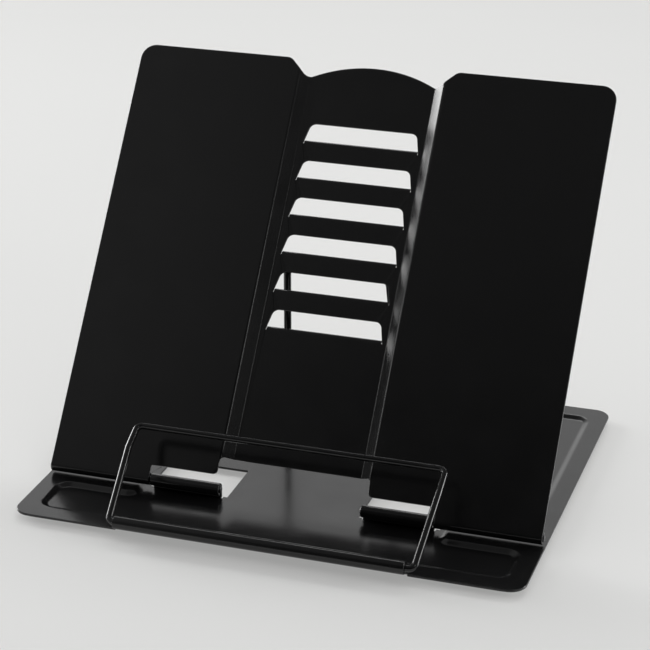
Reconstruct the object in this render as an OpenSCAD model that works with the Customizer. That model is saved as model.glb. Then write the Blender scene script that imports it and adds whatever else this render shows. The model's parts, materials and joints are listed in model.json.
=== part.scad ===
// Folding book stand of pressed steel sheet and bent wire, standing open.
// Millimetres, +Z up, +Y to the rear. The origin is on the ground, under the middle of the base.

/* [Sheet] */
// Thickness of the pressed sheet of the base and the back panel
sheet = 1.0; // [0.8:0.1:1.2]

/* [Base] */
// Width of the base plate
base_w = 210; // [200:1:230]
// Depth of the base plate, from the hem's front to the rear edge
base_d = 174.6; // [166:0.1:200]
// Corner radius of the base plate
base_corner_r = 7; // [3:0.5:10]
// Depth of the sunk pan
pan_depth = 1.2; // [0.8:0.1:1.6]
// Width of the pan's sloping wall
pan_wall_w = 3.5; // [2:0.1:4]
// Flat border at the sides of the pan
pan_side_border = 6.8; // [6:0.1:10]
// Flat border in front of the pan
pan_front_border = 7.7; // [6:0.1:10]
// Flat border behind the pan
pan_rear_border = 8.1; // [6:0.1:12]
// Corner radius of the pan's outline
pan_corner_r = 6; // [3:0.5:8]
// Depth of the raised lands under the panel's knuckles, front to rear
land_d = 12; // [11:0.5:15]
// Flat strip between a knuckle's hole and the foot of the land beside it
land_gap = 1; // [0.5:0.1:3]

/* [Feet] */
// Diameter of a rubber foot
foot_d = 10; // [8:0.5:12]
// Height of a rubber foot
foot_h = 1.5; // [1:0.1:4]
// Distance of a foot's centre from the pan's side wall
foot_inset = 9; // [8:0.5:14]

/* [Hinge] */
// Distance of the hinge line from the hem's front
hinge_y = 42.9; // [40:0.1:48]
// Diameter of a hinge pin
hinge_pin_d = 3; // [2.6:0.1:3.6]
// Radial clearance round a hinge pin
hinge_fit = 0.05; // [0.03:0.01:0.1]
// Gap under the panel's knuckles
hinge_lift = 0.65; // [0.2:0.05:1]
// Distance of a base knuckle's inner end from the middle
knuckle_x = 30; // [27:0.5:32]
// Length of a base knuckle
knuckle_len = 29.7; // [24:0.1:32]
// Gap between a base knuckle and a panel knuckle
knuckle_gap = 0.6; // [0.4:0.1:1.5]
// Clear space beside a base knuckle in the hole that it is cut from
knuckle_relief = 2; // [1.5:0.1:4]
// Reach of that hole behind the hinge line
knuckle_hole_d = 28; // [24:0.5:31]
// How far a pin stands out at each end
pin_proud = 0.6; // [0:0.1:0.8]

/* [Back panel] */
// Width of the back panel
panel_w = 207.7; // [196:0.1:209]
// Height of the wings above the hinge line, along the panel
panel_h = 187; // [183:0.5:200]
// Lean of the panel from upright, in degrees
panel_lean = 36.86; // [32:0.01:40]
// Radius of the panel's top corners
panel_corner_r = 6.5; // [4:0.5:10]
// Width of the channel's mouth
channel_w = 63.2; // [60:0.1:66]
// Width of the channel's flat bottom
channel_floor_w = 54.2; // [53:0.1:56]
// Depth of the channel
channel_depth = 3.5; // [3:0.1:4]
// Inside radius of the channel's bends
channel_bend_r = 0.8; // [0.5:0.1:1]
// Height of the bottom window's top edge above the hinge line
window_h = 13; // [10:0.5:18]
// How far the window reaches past the channel's mouth on each side
window_margin = 0.3; // [0.2:0.1:1]
// Radius of the window's top corners
window_r = 2; // [1:0.5:3]
// Height of the knuckle notch above the hinge line
notch_h = 5.5; // [4.5:0.1:7]
// Radius of the notch's inner corner
notch_r = 2; // [1:0.5:3]
// Fall from the wing's top to the valleys beside the hump
valley_drop = 7.5; // [6:0.5:9]
// Fall from the wing's top to the hump's peak
hump_drop = 0.5; // [0:0.1:2]
// Radius of the hump
hump_r = 61; // [56:1:70]
// Width of the slope between a wing's top and its valley
shoulder_w = 7.9; // [6:0.1:10]
// Radius where the wing's top turns down
shoulder_r = 4; // [2:0.5:5]
// Distance of the valley's lowest point from the edge of the channel's flat bottom
valley_out = 1.5; // [1:0.1:2.5]
// Radius of the valley
valley_r = 3; // [2:0.5:4]

/* [Slots and tabs] */
// Number of slots
slot_count = 6; // [4:1:6]
// Height of the lowest tab's bend above the hinge line
slot_first = 68.8; // [60:0.1:72]
// Distance from slot to slot
slot_pitch = 16.35; // [15:0.05:17]
// Width of a slot at its bottom
slot_w = 50.2; // [44:0.1:51]
// Width of a slot at its top
slot_top_w = 46; // [40:0.1:48]
// Height of a slot above the tab's bend
slot_h = 9; // [8:0.1:10]
// Radius of a slot's top corners
slot_r = 3; // [1:0.5:3.5]
// Straight length of a tab behind its bend
tab_len = 4.3; // [3:0.1:4.3]
// Angle that a tab is bent back from the panel, in degrees
tab_bend = 76; // [70:1:90]
// Inside radius of a tab's bend
tab_bend_r = 0.8; // [0.5:0.1:1]
// Width of the cut round a tab
tab_kerf = 0.2; // [0.1:0.05:0.3]

/* [Support strut] */
// Diameter of the strut's wire
strut_wire_d = 3.2; // [2.8:0.1:3.4]
// Number of the tab that holds the strut, counted from the lowest as 0
strut_tab = 2; // [1:1:3]
// Distance of the crossbar's axis below the bend of its tab
strut_drop = 3.8; // [3.6:0.1:5]
// Gap between the crossbar and the back of the channel
strut_gap = 0.3; // [0.2:0.1:0.6]
// Distance of the strut's feet from the hem's front
strut_foot_y = 116.9; // [110:0.1:120]
// Distance between the legs at the crossbar
strut_top_w = 44; // [36:0.5:48]
// Distance between the legs at the feet
strut_foot_w = 52; // [48:0.5:60]
// Bend radius of the strut's wire
strut_bend_r = 4.5; // [4:0.1:6]
// Radial clearance of a foot in its curl
strut_fit = 0.05; // [0.03:0.01:0.1]
// Gap between a curl and the pan under it
strut_lift = 0.3; // [0.2:0.1:0.6]
// Length of a curl
curl_len = 12; // [8:0.5:16]
// Clear space beside a curl in the hole that it is cut from
curl_relief = 2; // [1.5:0.1:3]
// Reach of that hole behind the curl's axis
curl_hole_d = 20; // [16:0.5:24]

/* [Page holder] */
// Diameter of the page holder's wire
holder_wire_d = 2.8; // [2.4:0.1:3]
// Radial clearance of the wire in the hem
holder_fit = 0.3; // [0.1:0.05:0.4]
// Width of the front hem
hem_w = 119; // [100:0.1:124]
// Gap under the hem's roll
hem_lift = 0.8; // [0.3:0.1:1.5]
// Length of wire inside each end of the hem
holder_tail = 20; // [12:0.5:30]
// Radius of the bend beside the hem
holder_foot_r = 2.3; // [2.2:0.1:3]
// Distance from the hem's end to that bend
holder_foot_gap = 0.6; // [0.5:0.1:1.5]
// How far the page holder has slid sideways in the hem
holder_shift = 0.5; // [0:0.1:0.5]
// How far a leg spreads outward from the hem to its kink
holder_spread = 2; // [0:0.1:5]
// Height of the kink above the hem
holder_kink_h = 19.7; // [17:0.1:24]
// How far the kink lies behind the hem
holder_kink_back = 26.8; // [22:0.1:28]
// Height of the top bar above the kink
holder_bar_rise = 5.2; // [2:0.1:6]
// How far the top bar lies behind the kink
holder_bar_back = 10.3; // [9:0.1:11]
// Bend radius of the kink
holder_kink_r = 7; // [6:0.5:9]
// Bend radius of the top bar's corners
holder_corner_r = 2.5; // [2.2:0.1:5]

/* [Hidden] */
$fn = 48;

paint = "#1c1c1e";
steel = "#3a3b3e";
rubber = "#2b2b2b";

// Small overreach of a cut past the face that it opens
over = 0.5;
// Flats in a rounded corner of an outline, and along the hump
corner_steps = 6;
hump_steps = 13;
// Run of the valley's rounding toward the hump, in valley radii
valley_run = 1.5;
// Chamfer on the ends of pins
end_chamfer = 0.4;
// How much metal thins on each side at a bend, and how far bent and straight runs are seated in each other
bend_thinning = 0.05;
bend_seat = 0.25;

// Turn of a curled tab over its axis, and start and turn of the panel's knuckles, in degrees
curl_sweep = 260;
panel_roll_start = 90;
panel_roll_sweep = 295;

// Heights, measured from the border's top face
border_top = foot_h + sheet + pan_depth;
pan_floor = -pan_depth;

// Rolled knuckles of the main hinge
hinge_bore_r = hinge_pin_d / 2 + hinge_fit;
hinge_roll_r = hinge_bore_r + sheet;
hinge_z = hinge_lift + hinge_roll_r;
knuckle_end = knuckle_x + knuckle_len;
panel_knuckle_x = knuckle_end + knuckle_gap;
panel_half = panel_w / 2;
hole_end = knuckle_end + knuckle_relief;

// Front hem
hem_bore_r = holder_wire_d / 2 + holder_fit;
hem_r = hem_bore_r + sheet;
hem_y = hem_r;
hem_z = hem_lift + hem_r;
border_y0 = hem_y + hem_bore_r;

// Curls for the strut's feet
curl_bore_r = strut_wire_d / 2 + strut_fit;
curl_r = curl_bore_r + sheet;
curl_z = pan_floor + strut_lift + curl_r;
curl_gap = curl_relief / 2;
curl_x = strut_foot_w / 2 + strut_bend_r + curl_gap;

// Pan outline
pan_half = base_w / 2 - pan_side_border;
pan_y0 = border_y0 + pan_front_border;
pan_y1 = base_d - pan_rear_border;
land_y0 = hinge_y - land_d / 2;
land_y1 = hinge_y + land_d / 2;
land_x = hole_end + land_gap + pan_wall_w;
land_overlap = 3 * pan_wall_w;

// Places of the rubber feet
foot_x = pan_half - pan_wall_w - foot_inset;
foot_y0 = (pan_y0 + land_y0) / 2;
foot_y1 = pan_y1 - pan_wall_w - foot_inset;

// Panel section, seen along the panel: z is toward the reader, and the hinge line is at 0
wing_front = hinge_roll_r;
wing_back = hinge_bore_r;
floor_front = wing_front - channel_depth;
floor_back = wing_back - channel_depth;

// Crossbar of the strut, in the base's own frame
bar_up = slot_first + strut_tab * slot_pitch - strut_drop;
bar_back = -floor_back + strut_gap + strut_wire_d / 2;
bar_y = hinge_y + bar_up * sin(panel_lean) + bar_back * cos(panel_lean);
bar_z = hinge_z + bar_up * cos(panel_lean) - bar_back * sin(panel_lean);

function unit(v) = v / norm(v);

// Points of the arc of radius r that rounds the corner v between a and b
function corner(a, v, b, r, steps = corner_steps) =
    let (p = unit(a - v), q = unit(b - v), half = acos(p * q) / 2,
         reach = r / tan(half), c = v + unit(p + q) * r / sin(half),
         s = v + p * reach - c, e = v + q * reach - c, turn = 180 - 2 * half)
    [for (i = [0:steps]) c + (s * sin(turn * (1 - i / steps)) + e * sin(turn * i / steps)) / sin(turn)];

function flipped(points) = [for (i = [len(points) - 1:-1:0]) [-points[i][0], points[i][1]]];

// The base's own frame: level with the border's top face, at the middle of the hem's front
module on_base() {
    translate([0, -base_d / 2, border_top]) children();
}

// Copies for the left and right sides
module both_sides() {
    children();
    mirror([1, 0, 0]) children();
}

// The panel's frame: x across, y up the panel, z out of its front, on the hinge line
module on_panel() {
    on_base() translate([0, hinge_y, hinge_z]) rotate([90 - panel_lean, 0, 0]) children();
}

// Sheet rolled round the X axis from x0 to x1. Angle 0 is toward +Y and 90 toward +Z
module roll(bore_r, x0, x1, start, sweep, wall = sheet) {
    translate([x0, 0, 0]) rotate([90, 0, 90]) rotate([0, 0, start]) rotate_extrude(angle = sweep)
        translate([bore_r, 0]) square([wall, x1 - x0]);
}

// Rectangle with round corners, from one corner to the opposite one
module round_box_2d(x0, y0, x1, y1, r) {
    a = [[x0, y0], [x1, y0], [x1, y1], [x0, y1]];
    polygon([for (i = [0:3]) each corner(a[(i + 3) % 4], a[i], a[(i + 1) % 4], r)]);
}

// Sunk block whose walls slope. Its rim at height 0 is x0, y0 to x1, y1
module sunk_block(x0, y0, x1, y1, r) {
    rise = pan_depth + over;
    lean = pan_wall_w * rise / pan_depth;
    w = x1 - x0 - 2 * pan_wall_w;
    d = y1 - y0 - 2 * pan_wall_w;
    translate([(x0 + x1) / 2, (y0 + y1) / 2, pan_floor])
        linear_extrude(rise, scale = [(w + 2 * lean) / w, (d + 2 * lean) / d], slices = 1)
            round_box_2d(-w / 2, -d / 2, w / 2, d / 2, r);
}

// The pan's inside: wide in front of and behind the hinge line, narrow between the lands
module pan_form() {
    sunk_block(-pan_half, pan_y0, pan_half, land_y0, pan_corner_r - pan_wall_w / 2);
    sunk_block(-pan_half, land_y1, pan_half, pan_y1, pan_corner_r - pan_wall_w / 2);
    sunk_block(-land_x, land_y0 - land_overlap, land_x, land_y1 + land_overlap, pan_wall_w / 2);
}

// Tab turned up from a face at height top behind the axis and curled forward over it, or with side -1
// turned up in front of the axis and curled back
module curled_tab(bore_r, y, z, x0, x1, top, side = 1) {
    foot = top - sheet / 2;
    inner = side > 0 ? bore_r : -bore_r - sheet;
    translate([x0, y + inner + bend_thinning, foot])
        cube([x1 - x0, sheet - 2 * bend_thinning, z - foot + bend_seat]);
    translate([0, y, z]) roll(bore_r, x0, x1, side > 0 ? 0 : 180 - curl_sweep, curl_sweep);
}

// Hole in the pan that such a tab leaves, from y0 to y1
module lanced_hole(x0, y0, x1, y1) {
    translate([x0, y0, pan_floor - sheet - over]) cube([x1 - x0, y1 - y0, sheet + 2 * over]);
}

module base_plate() {
    color(paint) on_base() {
        difference() {
            union() {
                translate([0, 0, -sheet]) linear_extrude(sheet)
                    round_box_2d(-base_w / 2, border_y0, base_w / 2, base_d, base_corner_r);
                translate([0, 0, -sheet]) pan_form();
            }
            pan_form();
            both_sides() {
                lanced_hole(knuckle_x - knuckle_relief, hinge_y + hinge_roll_r, hole_end,
                            hinge_y + knuckle_hole_d);
                lanced_hole(curl_x - curl_relief, strut_foot_y - curl_bore_r, curl_x + curl_len + curl_relief,
                            strut_foot_y + curl_hole_d);
            }
        }
        curled_tab(hem_bore_r, hem_y, hem_z, -hem_w / 2, hem_w / 2, 0);
        both_sides() {
            curled_tab(hinge_bore_r, hinge_y, hinge_z, knuckle_x, knuckle_end, pan_floor);
            curled_tab(curl_bore_r, strut_foot_y, curl_z, curl_x, curl_x + curl_len, pan_floor, -1);
        }
    }
}

// Section of the panel across its width, of the right-hand half from the edge to the middle
module panel_section_2d() {
    slope = atan2(channel_depth, (channel_w - channel_floor_w) / 2);
    shift = sheet * tan(slope / 2);
    edge = panel_half;
    mouth = channel_w / 2;
    foot = channel_floor_w / 2;
    front = [each corner([edge, wing_front], [mouth, wing_front], [foot, floor_front],
                         channel_bend_r + sheet),
             each corner([mouth, wing_front], [foot, floor_front], [0, floor_front], channel_bend_r)];
    back = [each corner([edge, wing_back], [mouth + shift, wing_back], [foot + shift, floor_back],
                        channel_bend_r),
            each corner([mouth + shift, wing_back], [foot + shift, floor_back], [0, floor_back],
                        channel_bend_r + sheet)];
    back_out = [for (i = [len(back) - 1:-1:0]) back[i]];
    half_front = [[edge, wing_front], each front];
    half_back = [each back_out, [edge, wing_back]];
    polygon([each half_front, each flipped(half_front), each flipped(half_back), each half_back]);
}

// Outline of the panel seen from its front, above the hinge line
module panel_outline_2d() {
    edge = panel_half;
    inner = channel_w / 2 + window_margin;
    hump_c = panel_h - hump_drop - hump_r;
    valley = [channel_floor_w / 2 + valley_out, panel_h - valley_drop];
    hump_half = asin((valley[0] - valley_run * valley_r) / hump_r);
    hump_end = [hump_r * sin(hump_half), hump_c + hump_r * cos(hump_half)];
    crest = [valley[0] + shoulder_w, panel_h];
    right = [each corner([-inner, window_h], [inner, window_h], [inner, notch_h], window_r),
             each corner([inner, window_h], [inner, notch_h], [panel_knuckle_x, notch_h], notch_r),
             [panel_knuckle_x, notch_h], [panel_knuckle_x, 0], [edge, 0],
             each corner([edge, 0], [edge, panel_h], crest, panel_corner_r),
             each corner([edge, panel_h], crest, valley, shoulder_r),
             each corner(crest, valley, hump_end, valley_r)];
    hump = [for (i = [0:hump_steps]) let (a = hump_half * (1 - 2 * i / hump_steps))
            [hump_r * sin(a), hump_c + hump_r * cos(a)]];
    polygon([each right, each hump, each flipped(right)]);
}

// Slot seen from the front, from the tab's bend up
module slot_2d() {
    b = slot_w / 2;
    t = slot_top_w / 2;
    polygon([[b, 0], each corner([b, 0], [t, slot_h], [-t, slot_h], slot_r),
             each corner([t, slot_h], [-t, slot_h], [-b, 0], slot_r), [-b, 0]]);
}

// Tab left by a slot: it bends back from the channel's floor and runs straight to its tip
module slot_tab() {
    b = slot_w / 2 - tab_kerf;
    t = slot_top_w / 2 - tab_kerf;
    seat = bend_seat / (tab_bend_r + sheet / 2) * 180 / PI;
    tip = [each corner([b, 0], [t, tab_len], [-t, tab_len], slot_r),
           each corner([t, tab_len], [-t, tab_len], [-b, 0], slot_r)];
    translate([0, 0, floor_back - tab_bend_r]) {
        roll(tab_bend_r + bend_thinning, tab_kerf - b, b - tab_kerf, 90 - tab_bend - seat,
             tab_bend + 2 * seat, sheet - 2 * bend_thinning);
        rotate([90 - tab_bend, 0, 0]) translate([0, tab_bend_r + sheet, 0]) rotate([-90, 0, 0])
            mirror([0, 0, 1]) linear_extrude(sheet) polygon([[b, 0], each tip, [-b, 0]]);
    }
}

module back_panel() {
    color(paint) on_panel() {
        difference() {
            intersection() {
                rotate([-90, 0, 0]) mirror([0, 1, 0]) linear_extrude(panel_h + over) panel_section_2d();
                translate([0, 0, floor_back - over]) linear_extrude(wing_front - floor_back + 2 * over)
                    panel_outline_2d();
            }
            for (k = [0:slot_count - 1])
                translate([0, slot_first + k * slot_pitch, floor_back - over])
                    linear_extrude(sheet + 2 * over) slot_2d();
        }
        for (k = [0:slot_count - 1])
            translate([0, slot_first + k * slot_pitch, 0]) slot_tab();
        both_sides() roll(hinge_bore_r, panel_knuckle_x, panel_half, panel_roll_start, panel_roll_sweep);
    }
}

// Round bar along X from x0 to x1 with chamfered ends
module pin(r, x0, x1) {
    len = x1 - x0;
    translate([x0, 0, 0]) rotate([0, 90, 0]) rotate_extrude()
        polygon([[0, 0], [r - end_chamfer, 0], [r, end_chamfer], [r, len - end_chamfer],
                 [r - end_chamfer, len], [0, len]]);
}

module hinge_pin() {
    on_base() translate([0, hinge_y, hinge_z])
        pin(hinge_pin_d / 2, knuckle_x - pin_proud, panel_half + pin_proud);
}

module hinge_pin_left() {
    color(steel) mirror([1, 0, 0]) hinge_pin();
}

module hinge_pin_right() {
    color(steel) hinge_pin();
}

// Straight wire from a to b
module wire_run(a, b, d) {
    v = b - a;
    translate(a) rotate([0, acos(v[2] / norm(v)), atan2(v[1], v[0])]) cylinder(d = d, h = norm(v));
}

// Length that a bend of radius r takes from each side of the corner v
function bend_reach(a, v, b, r) = r * tan((180 - acos(unit(a - v) * unit(b - v))) / 2);

// Wire bent at the corner v between a and b
module wire_bend(a, v, b, r, d) {
    p = unit(v - a);
    q = unit(b - v);
    turn = acos(p * q);
    c = v + unit(q - p) * r / cos(turn / 2);
    x = unit(v - p * r * tan(turn / 2) - c);
    z = cross(x, p);
    multmatrix([[x[0], p[0], z[0], c[0]], [x[1], p[1], z[1], c[1]], [x[2], p[2], z[2], c[2]]])
        rotate_extrude(angle = turn) translate([r, 0]) circle(d = d - 2 * bend_thinning);
}

// Wire along the points, with the bend radius of each inner point
module wire(points, radii, d) {
    last = len(points) - 1;
    reach = [for (i = [0:last]) i == 0 || i == last ? 0
             : bend_reach(points[i - 1], points[i], points[i + 1], radii[i]) - bend_seat];
    for (i = [0:last - 1]) let (v = unit(points[i + 1] - points[i]))
        wire_run(points[i] + v * reach[i], points[i + 1] - v * reach[i + 1], d);
    for (i = [1:last - 1])
        wire_bend(points[i - 1], points[i], points[i + 1], radii[i], d);
}

// A closed run of points from its left half, mirrored to the right
function mirrored(points) = [each points, for (i = [len(points) - 1:-1:0])
                             [-points[i][0], points[i][1], points[i][2]]];
function repeated(values) = [each values, for (i = [len(values) - 1:-1:0]) values[i]];

module page_holder() {
    leg_x = hem_w / 2 + holder_foot_gap + holder_foot_r;
    kink = [-leg_x - holder_spread, hem_y + holder_kink_back, hem_z + holder_kink_h];
    left = [[-hem_w / 2 + holder_tail, hem_y, hem_z], [-leg_x, hem_y, hem_z], kink,
            kink + [0, holder_bar_back, holder_bar_rise]];
    color(paint) on_base() translate([holder_shift, 0, 0])
        wire(mirrored(left), repeated([0, holder_foot_r, holder_kink_r, holder_corner_r]), holder_wire_d);
}

module support_strut() {
    end_x = curl_x + curl_len + curl_gap;
    left = [[-end_x, strut_foot_y, curl_z], [-strut_foot_w / 2, strut_foot_y, curl_z],
            [-strut_top_w / 2, bar_y, bar_z]];
    color(paint) on_base()
        wire(mirrored(left), repeated([0, strut_bend_r, strut_bend_r]), strut_wire_d);
}

// Rubber foot under the pan, its lower edge rounded off
module foot(x, y) {
    r = foot_d / 2;
    soft = foot_h / 3;
    color(rubber) translate([x, y - base_d / 2, 0]) rotate_extrude()
        polygon([[0, 0], [r - soft, 0], [r, soft], [r, foot_h], [0, foot_h]]);
}

module foot_front_left() foot(-foot_x, foot_y0);
module foot_front_right() foot(foot_x, foot_y0);
module foot_rear_left() foot(-foot_x, foot_y1);
module foot_rear_right() foot(foot_x, foot_y1);

base_plate();
back_panel();
hinge_pin_left();
hinge_pin_right();
page_holder();
support_strut();
foot_front_left();
foot_front_right();
foot_rear_left();
foot_rear_right();
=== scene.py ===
"""Looks of a folding book stand of pressed steel sheet and bent wire, built around its packed frame."""

import json
import math
from collections import namedtuple

import bmesh
import bpy
from bpy.props import FloatProperty, FloatVectorProperty, IntProperty, PointerProperty
from mathutils import Matrix, Vector
from mathutils.geometry import delaunay_2d_cdt

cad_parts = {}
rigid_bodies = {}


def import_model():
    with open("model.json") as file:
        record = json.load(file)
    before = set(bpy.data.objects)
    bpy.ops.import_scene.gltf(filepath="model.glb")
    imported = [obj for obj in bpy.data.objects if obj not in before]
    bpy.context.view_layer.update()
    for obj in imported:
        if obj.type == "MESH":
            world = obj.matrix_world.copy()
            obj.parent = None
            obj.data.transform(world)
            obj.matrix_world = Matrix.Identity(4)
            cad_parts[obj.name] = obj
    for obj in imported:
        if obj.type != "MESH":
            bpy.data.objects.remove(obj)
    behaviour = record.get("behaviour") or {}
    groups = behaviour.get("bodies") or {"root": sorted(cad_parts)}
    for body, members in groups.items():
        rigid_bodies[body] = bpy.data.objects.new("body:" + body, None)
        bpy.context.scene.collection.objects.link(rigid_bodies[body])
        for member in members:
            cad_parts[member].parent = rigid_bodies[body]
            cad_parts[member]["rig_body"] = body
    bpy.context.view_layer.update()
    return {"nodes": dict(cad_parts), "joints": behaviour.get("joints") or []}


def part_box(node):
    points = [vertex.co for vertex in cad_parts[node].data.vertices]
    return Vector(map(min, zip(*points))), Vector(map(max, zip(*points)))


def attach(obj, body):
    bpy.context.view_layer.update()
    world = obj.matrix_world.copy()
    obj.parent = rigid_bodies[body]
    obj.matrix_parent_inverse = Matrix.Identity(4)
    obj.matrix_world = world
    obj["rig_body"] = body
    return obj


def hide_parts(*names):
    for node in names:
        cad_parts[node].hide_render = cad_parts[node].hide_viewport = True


bl_info = {
    "name": "Folding book stand",
    "version": (1, 0, 0),
    "blender": (4, 5, 0),
    "location": "View3D > Sidebar > Book stand",
    "description": "Builds the sheet, wire, pins and feet of a folding steel book stand",
    "category": "Object",
}

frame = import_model()
JOINTS = {joint["name"]: joint for joint in frame["joints"]}
MM = 0.001

# Points closer than this are one point of a sheet
WELD = 2e-6
# Points of a sheet's rim closer than this are joined, so that its rounding stays smooth
RIM_WELD = 1e-4
# Stretch that holds nearly all values of a noise
NOISE_REACH = (0.3, 0.7)
# Sockets of the Mix node for colours, whose names repeat
MIX_FACTOR, MIX_FIRST, MIX_SECOND, MIX_RESULT = 0, 6, 7, 2


# Values that a user can set


def length(label, millimetres, text):
    """A size, written in millimetres."""
    metres = millimetres * MM
    return FloatProperty(name=label, description=text, default=metres, min=0.0, unit="LENGTH", precision=5)


def angle(label, degrees, text):
    """An angle, written in degrees."""
    return FloatProperty(name=label, description=text, default=math.radians(degrees), unit="ROTATION")


def share(label, value, text):
    """A plain number from 0 to 1."""
    return FloatProperty(name=label, description=text, default=value, min=0.0, max=1.0, subtype="FACTOR")


def colour(label, rgb, owner):
    """A colour, with what it belongs to."""
    text = "Colour of " + owner
    return FloatVectorProperty(
        name=label, description=text, default=rgb, size=3, min=0.0, max=1.0, subtype="COLOR"
    )


def place(label, metres, text):
    """A point of the row frame."""
    return FloatVectorProperty(
        name=label, description=text, default=metres, size=3, subtype="XYZ", unit="LENGTH"
    )


def number(label, value, text):
    """A plain number."""
    return FloatProperty(name=label, description=text, default=value)


def count(label, value, text, least=3):
    """A whole number."""
    return IntProperty(name=label, description=text, default=value, min=least)


def stretch(label, ends, text):
    """The two ends of a stretch of values."""
    return FloatVectorProperty(name=label, description=text, default=ends, size=2)


class SheetSizes(bpy.types.PropertyGroup):
    """Sizes that both pressed sheets share."""

    thickness: length("Thickness", 1.0, "Thickness of the pressed sheet")
    rim_round: length("Rim rounding", 0.28, "Rounding of the sheet's painted cut edges")
    foot_bend: length("Foot bend", 0.8, "Inside radius where a lanced tab turns up from the pan")
    rim_steps: count("Rim steps", 3, "Flats in the rounding of a cut edge")
    rim_angle: angle("Rim angle", 40.0, "Least turn of an edge that is rounded")
    arc_steps: count("Arc steps", 10, "Flats in a rounded corner")
    bend_steps: count("Bend steps", 5, "Flats in a tight bend or corner")
    roll_step: angle("Roll step", 9.0, "Turn of one flat of a rolled edge")


class BaseSizes(bpy.types.PropertyGroup):
    """Sizes of the base sheet, measured from the middle of the hem's front."""

    corner_r: length("Corner radius", 7.0, "Radius of the base's corners")
    pan_depth: length("Pan depth", 1.2, "Depth of the sunk pan")
    pan_wall: length("Pan wall", 3.5, "Width of the pan's sloping wall")
    pan_side: length("Side border", 6.8, "Flat border at the sides of the pan")
    pan_front: length("Front border", 7.7, "Flat border in front of the pan")
    pan_rear: length("Rear border", 8.1, "Flat border behind the pan")
    pan_corner_r: length("Pan corner", 6.5, "Radius of the pan's outer corners at the rim")
    pan_inner_r: length("Land corner", 2.0, "Radius of the lands' corners at the rim")
    pan_steps: count("Pan wall steps", 12, "Flats down the pan's wall")
    land_d: length("Land depth", 12.0, "Depth of the raised lands under the panel's knuckles")
    land_x: length("Land distance", 66.2, "From the middle to a land's wall")
    hem_w: length("Hem width", 119.0, "Width of the rolled front hem")
    hem_r: length("Hem radius", 2.7, "Outside radius of the hem's roll")
    kerf: length("Kerf", 0.3, "Width of the cut beside a turned-up tab")
    relief: length("Relief", 2.0, "Clear space beside a knuckle or curl in its hole")
    curl_sweep: angle("Curl sweep", 260.0, "Turn of a curled tab over its axis")
    knuckle_x: length("Knuckle distance", 30.0, "From the middle to a knuckle's inner end")
    knuckle_len: length("Knuckle length", 29.7, "Length of a base knuckle")
    knuckle_r: length("Knuckle radius", 2.55, "Outside radius of a rolled knuckle")
    knuckle_hole: length("Knuckle hole", 28.0, "Reach of the knuckle's hole behind the hinge line")
    curl_x: length("Curl distance", 31.5, "From the middle to a strut curl's inner end")
    curl_len: length("Curl length", 12.0, "Length of a strut curl")
    curl_r: length("Curl radius", 2.65, "Outside radius of a strut curl")
    curl_hole: length("Curl hole", 20.0, "Reach of the curl's hole behind its axis")


class PanelSizes(bpy.types.PropertyGroup):
    """Sizes of the back panel, measured along it from the hinge line."""

    height: length("Height", 187.0, "Height of the wings")
    lean: angle("Lean", 36.86, "Lean of the panel from upright")
    corner_r: length("Corner radius", 6.5, "Radius of the top corners")
    front: length("Front face", 2.55, "Distance of the wings' front face from the hinge line")
    channel_w: length("Channel mouth", 63.2, "Width of the channel's mouth")
    channel_floor: length("Channel floor", 54.2, "Width of the channel's flat bottom")
    channel_depth: length("Channel depth", 3.5, "Depth of the channel")
    channel_bend: length("Channel bend", 0.8, "Inside radius of the channel's bends")
    window_h: length("Window height", 13.0, "Height of the bottom window")
    window_margin: length("Window margin", 0.3, "Reach of the window past the channel's mouth")
    window_r: length("Window radius", 2.0, "Radius of the window's top corners")
    notch_h: length("Notch height", 5.5, "Height of the knuckle notches")
    notch_r: length("Notch radius", 2.0, "Radius of a notch's inner corner")
    knuckle_x: length("Knuckle distance", 60.3, "From the middle to a panel knuckle's inner end")
    roll_sweep: angle("Roll sweep", 295.0, "Turn of the panel's rolled knuckles")
    valley_drop: length("Valley drop", 7.5, "Fall from the wing's top to the valleys")
    valley_out: length("Valley distance", 1.5, "Distance of a valley from the channel's flat bottom")
    valley_r: length("Valley radius", 3.0, "Radius of the valleys")
    valley_run: number("Valley run", 1.5, "Reach of a valley's rounding, in its radius")
    hump_drop: length("Hump drop", 0.5, "Fall from the wing's top to the hump's peak")
    hump_r: length("Hump radius", 61.0, "Radius of the hump")
    hump_steps: count("Hump steps", 25, "Flats along the hump")
    shoulder_w: length("Shoulder width", 7.9, "Width of the slope between a wing's top and its valley")
    shoulder_r: length("Shoulder radius", 4.0, "Radius where the wing's top turns down")
    slot_count: count("Slots", 6, "Number of slots", least=1)
    slot_first: length("First slot", 68.8, "Height of the lowest slot's bottom edge")
    slot_pitch: length("Slot pitch", 16.35, "Distance from slot to slot")
    slot_w: length("Slot width", 50.2, "Width of a slot at its bottom")
    slot_top: length("Slot top width", 46.0, "Width of a slot at its top")
    slot_h: length("Slot height", 9.0, "Height of a slot")
    slot_r: length("Slot radius", 3.0, "Radius of a slot's top corners")
    tab_len: length("Tab length", 4.3, "Straight length of a tab behind its bend")
    tab_bend: angle("Tab bend", 76.0, "Angle that a tab is bent back from the panel")
    tab_kerf: length("Tab kerf", 0.4, "Width of the cut beside a tab")


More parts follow.
